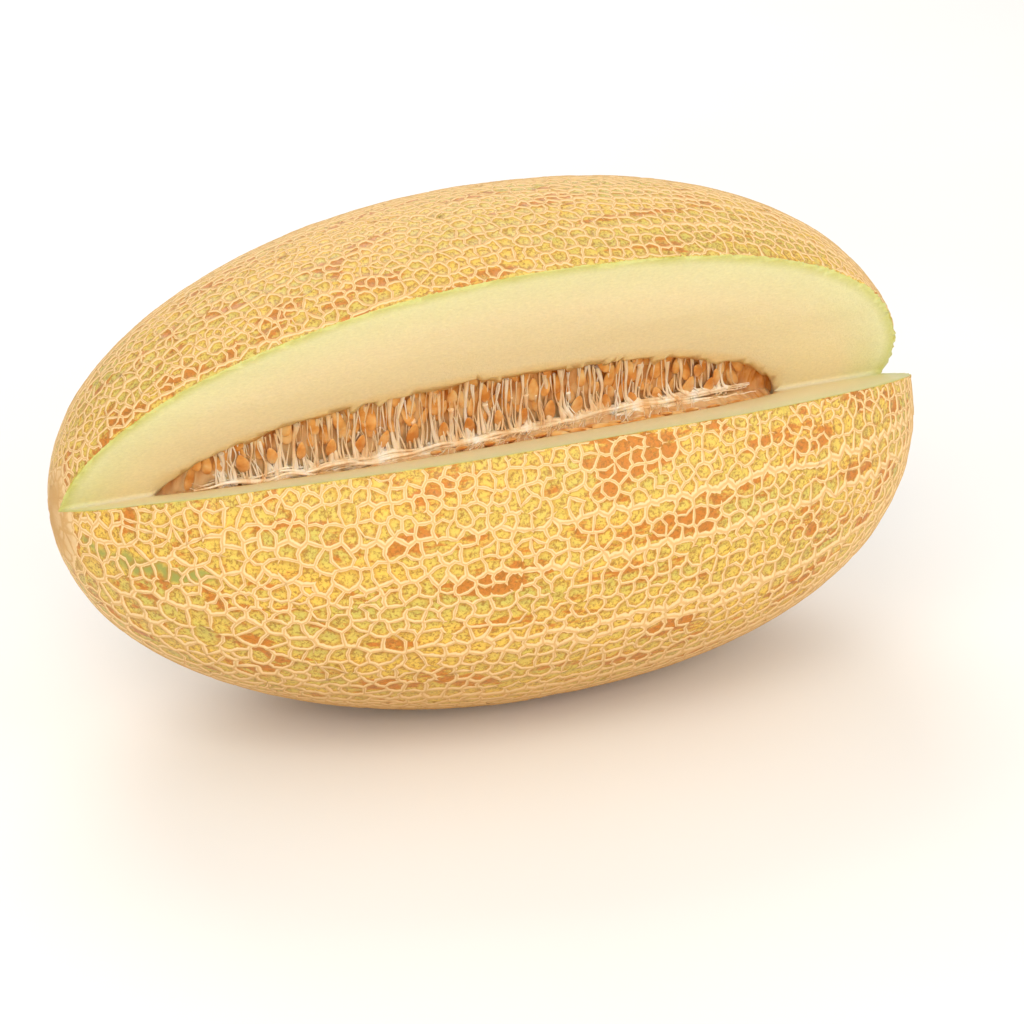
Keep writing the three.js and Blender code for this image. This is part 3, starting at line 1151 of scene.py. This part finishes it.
# --- what the cavity holds -----------------------------------------------------------------
@dataclass
class PulpLobe:
    """One lobe of the soft seed pulp, with folds that hang across its open face.

    Attributes:
        form: The melon's form.
        name: The piece's name.
        node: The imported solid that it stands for.
        face_angle: Where its open face lies.
        back_angle: Where it ends behind the core.
        folds_mm: How deep its folds are.
        crown_mm: How far its open face swells by the core at the blunt end.
        seed: Which noise it takes.
    """

    form: MelonForm
    name: str
    node: str
    face_angle: float
    back_angle: float
    folds_mm: float
    crown_mm: float
    seed: int
    paleness: float = 0.9
    stations: int = 330
    across: int = 36
    gap: float = 0.5 * MM

    def pale(self, points: np.ndarray) -> np.ndarray:
        """How pale and fibrous the pulp is at points: more so by the core."""
        radius, angle = self.form.polar(points)
        share = radius / np.maximum(self.form.cavity_radius_at(points[:, 0]), 1 * MM)
        drawn = np.column_stack([points[:, 0], radius, np.zeros_like(radius)])
        patchy = 0.35 * noise(drawn, (0.004, 0.02, 1), self.seed + 8)
        patchy += 0.35 * noise(drawn, (0.0016, 0.006, 1), self.seed + 9)
        patchy += 0.25 * smooth(0.0, -0.05, points[:, 0])
        return np.clip(1.2 - 1.5 * share + patchy, 0, 1) * self.paleness

    def face_point(self, x: np.ndarray, share: np.ndarray) -> np.ndarray:
        """Points on the open face, from the cavity's wall (share 0) to the core (share 1)."""
        form = self.form
        wall = form.cavity_radius_at(x) * 0.985 - self.gap
        radius = np.maximum(wall, 0.2 * MM) * (1 - share) + 0.2 * MM * share
        flat = np.column_stack([x, radius, np.zeros_like(x)])
        lean = x + 3 * MM * noise(flat, 0.02, self.seed) + 0.12 * radius
        drawn = np.column_stack([lean, radius, np.zeros_like(x)])
        fold = 0.65 * np.abs(noise(drawn, (0.0052, 0.05, 1), self.seed + 1))
        fold += 0.35 * noise(drawn, (0.0021, 0.03, 1), self.seed + 2)
        fold += 0.3 * noise(flat, 0.0045, self.seed + 3)
        fold += 0.1 * noise(drawn, (0.0009, 0.01, 1), self.seed + 4)
        ends = smooth(0, 0.3, share) * smooth(0, 12 * MM, wall)
        swell = self.crown_mm * smooth(-0.06, 0.1, x) * smooth(0.15, 1.0, share)
        lift = (self.folds_mm * fold * ends + swell * smooth(0, 12 * MM, wall)) * MM
        sign = 1 if self.face_angle < self.form.cut_low else -1
        side = self.face_angle + sign * math.pi / 2
        angle = np.full_like(x, self.face_angle)
        return form.place(x, radius, angle) + form.place(0 * x, lift, 0 * x + side) - [0, 0, form.axis_z]

    def build(self, finish: bpy.types.Material) -> bpy.types.Object:
        """Builds the lobe as one closed mesh."""
        form = self.form
        left, right = form.cavity_reach
        steps = -np.cos(np.linspace(0.1, math.pi - 0.1, self.stations))
        x = form.cavity_middle + np.where(steps < 0, left, right) * steps
        share = np.linspace(0, 1, self.across)
        rings = [self.face_point(x, np.full_like(x, t)) for t in share]
        wall = np.maximum(form.cavity_radius_at(x) * 0.985 - self.gap, 0.2 * MM)
        rings += [form.place(x, wall * t, np.full_like(x, self.back_angle)) for t in (0.3, 0.7, 1.0)]
        turn = np.linspace(self.back_angle, self.face_angle, 10)[1:-1]
        rings += [form.place(x, wall, np.full_like(x, a)) for a in turn]
        around = len(rings)
        points = np.stack(rings, axis=1).reshape(-1, 3)
        faces = NettedMelon.loft_faces(self.stations, around, closed=True)
        lobe = NettedMelon.cleaned(mesh_object(self.name, points, faces, {"pale": self.pale(points)}))
        lobe.data.materials.append(finish)
        return lobe


@dataclass
class TubeBundle:
    """Strings of wet fibre, each a tube along its own path, made by one tree of nodes."""

    name: str
    sides: int = 6

    def tree(self) -> bpy.types.GeometryNodeTree:
        """Builds the node tree: paths in, tubes of each point's own thickness out."""
        tree = bpy.data.node_groups.new(self.name, "GeometryNodeTree")
        tree.interface.new_socket("Paths", in_out="INPUT", socket_type="NodeSocketGeometry")
        tree.interface.new_socket("Thickness", in_out="INPUT", socket_type="NodeSocketFloat")
        tree.interface.new_socket("Sides", in_out="INPUT", socket_type="NodeSocketInt")
        tree.interface.new_socket("Finish", in_out="INPUT", socket_type="NodeSocketMaterial")
        tree.interface.new_socket("Tubes", in_out="OUTPUT", socket_type="NodeSocketGeometry")
        inlet = add_node(tree, "NodeGroupInput").outputs
        width = add_node(
            tree, "GeometryNodeInputNamedAttribute", {"data_type": "FLOAT"}, {"Name": "width"}
        ).outputs[0]
        curves = add_node(tree, "GeometryNodeMeshToCurve", links={0: inlet["Paths"]}).outputs[0]
        radius = add_node(
            tree, "ShaderNodeMath", {"operation": "MULTIPLY"}, links={0: width, 1: inlet["Thickness"]}
        ).outputs[0]
        sized = add_node(
            tree, "GeometryNodeSetCurveRadius", links={"Curve": curves, "Radius": radius}
        ).outputs[0]
        ring = add_node(
            tree, "GeometryNodeCurvePrimitiveCircle", values={"Radius": 1.0}, links={0: inlet["Sides"]}
        ).outputs[0]
        tubes = add_node(
            tree,
            "GeometryNodeCurveToMesh",
            values={"Fill Caps": True},
            links={"Curve": sized, "Profile Curve": ring},
        )
        if "Scale" in tubes.inputs:
            tree.links.new(radius, tubes.inputs["Scale"])
        real = add_node(tree, "GeometryNodeRealizeInstances", links={0: tubes.outputs[0]}).outputs[0]
        shaded = add_node(
            tree, "GeometryNodeSetMaterial", links={0: real, "Material": inlet["Finish"]}
        ).outputs[0]
        add_node(tree, "NodeGroupOutput", links={0: shaded})
        return tree

    def build(
        self, paths: Sequence[np.ndarray], widths: Sequence[np.ndarray], finish: bpy.types.Material
    ) -> bpy.types.Object:
        """Makes the tubes.

        Args:
            paths: The points of each string.
            widths: Each point's radius, in millimetres.
            finish: The strings' material.

        Returns:
            A plain mesh object.
        """
        starts = np.cumsum([0] + [len(path) for path in paths])
        edges = [(i, i + 1) for a, b in zip(starts, starts[1:]) for i in range(a, b - 1)]
        mesh = bpy.data.meshes.new(self.name)
        mesh.from_pydata(np.vstack(paths).tolist(), [(int(a), int(b)) for a, b in edges], [])
        layer = mesh.attributes.new("width", "FLOAT", "POINT")
        layer.data.foreach_set("value", np.concatenate(widths).astype(np.float32))
        thing = bpy.data.objects.new(self.name, mesh)
        bpy.context.scene.collection.objects.link(thing)
        node_inputs(thing, self.tree(), {"Thickness": MM, "Sides": self.sides, "Finish": finish})
        plain = applied(thing, self.name + "_tubes")
        plain.name = self.name
        plain.data.shade_smooth()
        return plain


def node_inputs(
    thing: bpy.types.Object, tree: bpy.types.GeometryNodeTree, values: Mapping[str, Any]
) -> None:
    """Puts a node tree on an object and sets its inputs by their identifiers."""
    maker = thing.modifiers.new("maker", "NODES")
    maker.node_group = tree
    for item in tree.interface.items_tree:
        if item.item_type == "SOCKET" and item.in_out == "INPUT" and item.name in values:
            maker[item.identifier] = values[item.name]


@dataclass
class CoreAndFibres:
    """The white band along the cavity's middle and the fibres that hang down to it."""

    form: MelonForm
    seed: int = 5
    hanging: int = 210
    band_strings: int = 60
    fan_strings: int = 60

    def axis_height(self, x: np.ndarray) -> np.ndarray:
        """How far above the melon's axis the band runs."""
        return (0.5 + 8.5 * smooth(-0.07, 0.1, x)) * MM

    def band(self, rng: np.random.Generator) -> tuple[list[np.ndarray], list[np.ndarray]]:
        """The strings of the band itself, some of them thick."""
        paths, widths = [], []
        for i in range(self.band_strings):
            start, stop = rng.uniform(-0.128, -0.06), rng.uniform(0.07, 0.116)
            x = np.linspace(start, stop, BAND_POINTS)
            spot = np.column_stack([x, np.full(BAND_POINTS, i * 0.37), np.zeros(BAND_POINTS)])
            spread = 0.8 + 1.5 * smooth(0.03, -0.06, x)
            out = 1.5 * MM + 2.4 * MM * noise(spot, (0.035, 0.1, 1), 61) * spread
            up = self.axis_height(x) + 2.6 * MM * noise(spot, (0.022, 0.1, 1), 62) * spread
            up += 1.2 * MM * smooth(0.03, -0.06, x)
            up += 0.5 * MM * noise(spot, (0.006, 0.1, 1), 63)
            upper = i % 3 > 0
            up += (1.3 if upper else -1.9) * MM * smooth(-0.05, 0.03, x)
            out += (0.0 if upper else 3.4) * MM * smooth(-0.05, 0.03, x)
            paths.append(np.column_stack([x, -out - 1.5 * MM - 0.45 * up, self.form.axis_z + up]))
            thick = 1.25 if i % 7 == 0 else rng.uniform(0.4, 0.9)
            share = (x - start) / (stop - start)
            taper = smooth(0, 0.15, share) * smooth(1, 0.85, share)
            widths.append(thick * (0.25 + 0.75 * taper))
        return paths, widths

    def curtain(self, rng: np.random.Generator) -> tuple[list[np.ndarray], list[np.ndarray]]:
        """Fibres from the torn flesh down to the band, some forked."""
        form = self.form
        paths, widths = [], []
        for i in range(self.hanging):
            x_top = -0.118 + 0.222 * ((i + rng.uniform(0, 1)) / self.hanging) ** 1.2
            low_root = i % 3 == 0
            top = form.cavity_radius_at(np.array([x_top]))[0]
            top *= rng.uniform(0.35, 0.62) if low_root else rng.uniform(0.8, 1.0)
            t = np.linspace(0, 1, FIBRE_POINTS)
            spot = np.column_stack([t * 0.03, np.full(FIBRE_POINTS, i * 0.71), np.zeros(FIBRE_POINTS)])
            x = x_top + 7 * MM * t * rng.uniform(0.3, 1.1) + 1.1 * MM * noise(spot, (0.011, 0.1, 1), 71)
            height = self.axis_height(x)
            stop = rng.uniform(0.8, 1.0)
            radius = top * (1 - t * stop)
            y = -math.cos(FIBRE_FACE) * radius - (2.4 * MM + 0.4 * height) * smooth(0.4, 1, t * stop)
            y -= rng.uniform(0.3, 1.8) * MM * t
            z = form.axis_z + math.sin(FIBRE_FACE) * radius + height * smooth(0.5, 1.0, t * stop)
            y += 0.9 * MM * noise(spot, (0.009, 0.1, 1), 72)
            paths.append(np.column_stack([x, y, z]))
            thick = rng.uniform(0.8, 1.3) if i % 5 == 0 else rng.uniform(0.25, 0.62)
            widths.append(thick * (0.5 + 2.0 * np.abs(t - 0.45) ** 1.5))
            if i % 2:
                fork = rng.integers(6, 11)
                swing = rng.uniform(-3.6, 3.6) * MM
                branch = paths[-1][fork:].copy()
                branch[:, 0] += swing * np.linspace(0, 1, len(branch)) ** 0.7
                branch[:, 1] -= 0.8 * MM * np.linspace(0, 1, len(branch))
                paths.append(branch)
                widths.append(0.8 * widths[-1][fork:])
        return paths, widths

    def lower_fan(self, rng: np.random.Generator) -> tuple[list[np.ndarray], list[np.ndarray]]:
        """Fibres that fan out over the lower lobe."""
        paths, widths = [], []
        for i in range(self.fan_strings):
            x_start = -0.02 + 0.115 * i / self.fan_strings
            t = np.linspace(0, 1, FAN_POINTS)
            spot = np.column_stack([t * 0.03, np.full(FAN_POINTS, i * 0.53), np.zeros(FAN_POINTS)])
            x = x_start - 14 * MM * t + 1.2 * MM * noise(spot, (0.012, 0.1, 1), 81)
            radius = (3 + 34 * t * rng.uniform(0.5, 1)) * MM
            share = 1 - radius / self.form.cavity_radius_at(x)
            up = LOWER_CROWN_MM * MM * smooth(-0.06, 0.1, x) * smooth(0.15, 1, share)
            up += 1.3 * MM + 0.5 * MM * noise(spot, (0.01, 0.1, 1), 82)
            y = -math.cos(LOWER_FACE) * radius + math.sin(LOWER_FACE) * up
            z = self.form.axis_z + math.sin(LOWER_FACE) * radius + math.cos(LOWER_FACE) * up
            paths.append(np.column_stack([x, y, z]))
            widths.append(np.full(FAN_POINTS, rng.uniform(0.14, 0.3)))
        return paths, widths

    def build(self, finish: bpy.types.Material) -> tuple[bpy.types.Object, bpy.types.Object]:
        """Builds the band, and the fibres above and below it as a second piece."""
        rng = np.random.default_rng(self.seed)
        band = TubeBundle("core_band", 8).build(*self.band(rng), finish)
        upper, lower = self.curtain(rng), self.lower_fan(rng)
        fibres = TubeBundle("pulp_fibres").build(upper[0] + lower[0], upper[1] + lower[1], finish)
        return band, fibres


@dataclass
class SeedBed:
    """The melon's seeds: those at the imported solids' places, and more set into the pulp."""

    form: MelonForm
    nodes: list[str]
    length: float = 12.4 * MM
    width: float = 4.9 * MM
    thickness: float = 2.3 * MM
    taper: float = 0.3
    extra: int = 95
    lean: float = math.radians(11)
    loose: tuple[tuple[float, float, float], ...] = ((0.088, 0.72, -0.9), (0.098, 0.6, -0.6))
    seed: int = 23

    def packed_places(self, objects: Mapping[str, bpy.types.Object]) -> tuple[np.ndarray, np.ndarray]:
        """Reads where each packed seed lies and how it is turned, from its vertices."""
        places, turns = [], []
        for name in self.nodes:
            points = vertex_places(objects[name])
            centre = (points.min(axis=0) + points.max(axis=0)) / 2
            _, _, axes = np.linalg.svd(points - points.mean(axis=0), full_matrices=False)
            long_axis = axes[0] * (1 if axes[0][2] > 0 else -1)
            across = axes[1] - long_axis * (axes[1] @ long_axis)
            across /= np.linalg.norm(across)
            flat_way = np.cross(long_axis, across)
            turn = Matrix(np.column_stack([across, flat_way, long_axis]).tolist())
            lean = self.lean * (1 if flat_way[1] < 0 else -1)
            turn = Matrix.Rotation(lean, 3, Vector(flat_way)) @ turn
            places.append(centre)
            turns.append(turn.to_euler())
        return np.array(places), np.array(turns)

    def extra_places(self, taken: np.ndarray) -> tuple[np.ndarray, np.ndarray]:
        """Scatters more seeds over the open face of the pulp, clear of the others."""
        rng = np.random.default_rng(self.seed)
        form = self.form
        places, turns = list(taken), []
        for x, share, tilt in self.loose:
            radius = form.cavity_radius_at(np.array([x])) * share
            places.append(form.place(np.array([x]), radius, np.array([math.radians(62)]))[0])
            turns.append(Euler((math.radians(25), tilt, 0.3)))
        tries = 0
        while len(turns) < self.extra and tries < 4000:
            tries += 1
            lower = rng.uniform() < 0.2
            x = rng.uniform(0.02, 0.112) if lower else rng.uniform(-0.128, 0.108)
            wall = form.cavity_radius_at(np.array([x]))[0]
            low, high = (0.3, 0.8) if lower else (0.42, 0.93)
            radius = wall * rng.uniform(low, high)
            angle = math.radians(22 if lower else rng.uniform(65.5, 69))
            centre = form.place(np.array([x]), np.array([radius]), np.array([angle]))[0]
            apart = np.array([5.2, 5.0, 5.2]) * MM
            if (np.linalg.norm((np.array(places) - centre) / apart, axis=1) < 1).any():
                continue
            places.append(centre)
            tilt, roll, pitch = rng.uniform(-0.45, 0.45), rng.uniform(-0.7, 0.7), rng.uniform(-0.3, 0.3)
            turn = Matrix.Rotation(math.pi / 2 - angle + pitch, 3, "X")
            turn = turn @ Matrix.Rotation(tilt + (0.9 if lower else -self.lean), 3, "Y")
            turns.append((turn @ Matrix.Rotation(roll, 3, "Z")).to_euler())
        return np.array(places[len(taken) :]), np.array(turns)

    def tree(self) -> bpy.types.GeometryNodeTree:
        """Builds the node tree: a drop-shaped, flattened seed at each point, turned its own way."""
        tree = bpy.data.node_groups.new("seed_maker", "GeometryNodeTree")
        tree.interface.new_socket("Places", in_out="INPUT", socket_type="NodeSocketGeometry")
        for name in ("Length", "Width", "Thickness", "Taper"):
            tree.interface.new_socket(name, in_out="INPUT", socket_type="NodeSocketFloat")
        tree.interface.new_socket("Finish", in_out="INPUT", socket_type="NodeSocketMaterial")
        tree.interface.new_socket("Seeds", in_out="OUTPUT", socket_type="NodeSocketGeometry")
        inlet = add_node(tree, "NodeGroupInput").outputs
        ball = add_node(
            tree,
            "GeometryNodeMeshUVSphere",
            values={"Segments": 16, "Rings": 12, "Radius": 0.5},
        ).outputs[0]
        parts = add_node(
            tree, "ShaderNodeSeparateXYZ", links={0: add_node(tree, "GeometryNodeInputPosition").outputs[0]}
        ).outputs
        narrow = add_node(
            tree, "ShaderNodeMath", {"operation": "MULTIPLY"}, links={0: parts["Z"], 1: inlet["Taper"]}
        ).outputs[0]
        narrow = add_node(
            tree, "ShaderNodeMath", {"operation": "MULTIPLY_ADD"}, {1: -2.0, 2: 1.0}, {0: narrow}
        ).outputs[0]
        sides = []
        for axis, size in (("X", "Width"), ("Y", "Thickness")):
            full = add_node(
                tree, "ShaderNodeMath", {"operation": "MULTIPLY"}, links={0: parts[axis], 1: inlet[size]}
            ).outputs[0]
            side = add_node(tree, "ShaderNodeMath", {"operation": "MULTIPLY"}, links={0: full, 1: narrow})
            sides.append(side.outputs[0])
        tall = add_node(
            tree, "ShaderNodeMath", {"operation": "MULTIPLY"}, links={0: parts["Z"], 1: inlet["Length"]}
        ).outputs[0]
        drop = add_node(
            tree, "ShaderNodeCombineXYZ", links={"X": sides[0], "Y": sides[1], "Z": tall}
        ).outputs[0]
        shaped = add_node(
            tree, "GeometryNodeSetPosition", links={"Geometry": ball, "Position": drop}
        ).outputs[0]
        turn = add_node(
            tree, "GeometryNodeInputNamedAttribute", {"data_type": "FLOAT_VECTOR"}, {"Name": "turn"}
        ).outputs[0]
        size = add_node(
            tree, "GeometryNodeInputNamedAttribute", {"data_type": "FLOAT_VECTOR"}, {"Name": "size"}
        ).outputs[0]
        points = add_node(tree, "GeometryNodeMeshToPoints", links={0: inlet["Places"]}).outputs[0]
        turned = add_node(tree, "FunctionNodeEulerToRotation", links={0: turn}).outputs[0]
        copies = add_node(
            tree,
            "GeometryNodeInstanceOnPoints",
            links={"Points": points, "Instance": shaped, "Rotation": turned, "Scale": size},
        ).outputs[0]
        real = add_node(tree, "GeometryNodeRealizeInstances", links={0: copies}).outputs[0]
        shaded = add_node(
            tree, "GeometryNodeSetMaterial", links={0: real, "Material": inlet["Finish"]}
        ).outputs[0]
        add_node(tree, "NodeGroupOutput", links={0: shaded})
        return tree

    def build(
        self, objects: Mapping[str, bpy.types.Object], finish: bpy.types.Material
    ) -> bpy.types.Object:
        """Builds all the seeds as one mesh."""
        places, turns = self.packed_places(objects)
        more, more_turns = self.extra_places(places)
        places, turns = np.vstack([places, more]), np.vstack([turns, more_turns])
        rng = np.random.default_rng(self.seed + 1)
        sizes = rng.uniform(0.84, 1.08, (len(places), 1)) * rng.uniform(0.92, 1.08, (len(places), 3))
        mesh = bpy.data.meshes.new("seed_places")
        mesh.from_pydata(places.tolist(), [], [])
        for name, values in (("turn", turns), ("size", sizes)):
            layer = mesh.attributes.new(name, "FLOAT_VECTOR", "POINT")
            layer.data.foreach_set("vector", values.astype(np.float32).ravel())
        thing = bpy.data.objects.new("seed_places", mesh)
        bpy.context.scene.collection.objects.link(thing)
        sizes_by_name = {
            "Length": self.length, "Width": self.width, "Thickness": self.thickness, "Taper": self.taper
        }
        node_inputs(thing, self.tree(), {**sizes_by_name, "Finish": finish})
        seeds = applied(thing, "melon_seeds")
        seeds.data.shade_smooth()
        return seeds


# --- the stage ------------------------------------------------------------------------------
@dataclass
class Studio:
    """A pale table, soft lights and the camera."""

    form: MelonForm
    azimuth: float = math.radians(-23.5)
    elevation: float = math.radians(22.6)
    distance: float = 1.5
    lens_mm: float = 131.6
    shift: tuple[float, float] = (0.0249, -0.0663)

    def build(self) -> None:
        """Sets up the table, the lights and the camera."""
        self.table()
        self.world()
        self.lamp("key_light", (-0.9, -1.1, 1.5), 1.1, 13, "#FFF8EE")
        self.lamp("fill_light", (1.2, -1.2, 0.7), 1.4, 8, "#FFFBF6")
        self.lamp("front_light", (-0.55, -1.7, 0.85), 0.8, 11, "#FFF9F0")
        self.lamp("back_light", (0.2, 1.4, 1.3), 1.2, 12, "#FFFFFF")
        self.camera()
        bpy.context.scene.view_settings.view_transform = "Standard"

    def table(self) -> None:
        """Builds the table top, thin and just under the melon."""
        half, thick = 6.0, 0.02
        corners = [(x, y, z) for z in (-thick, 0) for x, y in ((-1, -1), (1, -1), (1, 1), (-1, 1))]
        points = np.array(corners) * [half, half, 1] - [0, 0, 0.05 * MM]
        faces = [[3, 2, 1, 0], [4, 5, 6, 7], [0, 1, 5, 4], [1, 2, 6, 5], [2, 3, 7, 6], [3, 0, 4, 7]]
        top = mesh_object("table_top", points, faces)
        top.data.shade_flat()
        top.data.materials.append(PaleTable("matt off-white laminate").build())

    def world(self) -> None:
        """Lights the room evenly, a little warm."""
        world = bpy.data.worlds.new("soft_room")
        world.use_nodes = True
        background = world.node_tree.nodes["Background"]
        background.inputs["Color"].default_value = linear("#FFFDFA")
        background.inputs["Strength"].default_value = 0.7
        bpy.context.scene.world = world

    def lamp(self, name: str, place: Sequence[float], size: float, power: float, colour: str) -> None:
        """Adds one square soft light that faces the melon."""
        light = bpy.data.lights.new(name, "AREA")
        light.size = size
        light.energy = power
        light.color = linear(colour)[:3]
        holder = bpy.data.objects.new(name, light)
        holder.location = place
        aim = Vector((0, 0, self.form.axis_z)) - holder.location
        holder.rotation_euler = aim.to_track_quat("-Z", "Y").to_euler()
        bpy.context.scene.collection.objects.link(holder)

    def camera(self) -> None:
        """Places the camera low in front, turned towards the pointed end."""
        lens = bpy.data.cameras.new("camera")
        lens.lens = self.lens_mm
        lens.sensor_width = 36
        lens.shift_x, lens.shift_y = self.shift
        holder = bpy.data.objects.new("camera", lens)
        flat = math.cos(self.elevation)
        away = Vector((
            math.sin(self.azimuth) * flat, -math.cos(self.azimuth) * flat, math.sin(self.elevation)
        ))
        target = Vector((0, 0, self.form.axis_z))
        holder.location = target + away * self.distance
        holder.rotation_euler = (-away).to_track_quat("-Z", "Y").to_euler()
        bpy.context.scene.collection.objects.link(holder)
        bpy.context.scene.camera = holder


def settle(piece: bpy.types.Object, slot: Slot, *nodes: str) -> None:
    """Fixes a piece to the melon's body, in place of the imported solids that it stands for."""
    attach(piece, BODY)
    if nodes:
        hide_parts(*nodes)
    LOG.info("%s: %d faces", piece.name, len(piece.data.polygons))


def main() -> None:
    """Builds the dressed melon piece by piece around the frame."""
    logging.basicConfig(level=logging.INFO, format="%(message)s")
    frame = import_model()
    form = MelonForm.from_frame()
    rind = NettedRind("waxy skin under tan cork net").build()
    flesh = CutFlesh("knife-cut juicy flesh").build()
    body = NettedMelon(form).build(rind, flesh)
    settle(body, Slot.RIND, "melon")
    pulp = WetPulp("juicy seed pulp").build()
    upper = PulpLobe(
        form, "upper_pulp", "pulp_upper", UPPER_FACE, math.radians(204), 2.2, 0.0, 101
    )
    lower = PulpLobe(
        form, "lower_pulp", "pulp_lower", LOWER_FACE, math.radians(-153), 1.6, LOWER_CROWN_MM, 151
    )
    for lobe in (upper, lower):
        settle(lobe.build(pulp), Slot.PULP, lobe.node)
    fibre = WetPulp(
        "wet white fibre",
        light="#FFF8E8",
        middle="#FCE7C2",
        dark="#EFC58C",
        glow=0.15,
        glow_depth=0.0006,
        scale=160,
    ).build()
    band, fibres = CoreAndFibres(form).build(fibre)
    settle(band, Slot.STRAND, "core_strand")
    settle(fibres, Slot.STRAND)
    seed_nodes = sorted(name for name in frame["nodes"] if name.startswith("seed_"))
    coat = SeedCoat("slippery tan seed coat").build()
    settle(SeedBed(form, seed_nodes).build(frame["nodes"], coat), Slot.SEED, *seed_nodes)
    Studio(form).build()


if __name__ == "__main__":
    main()
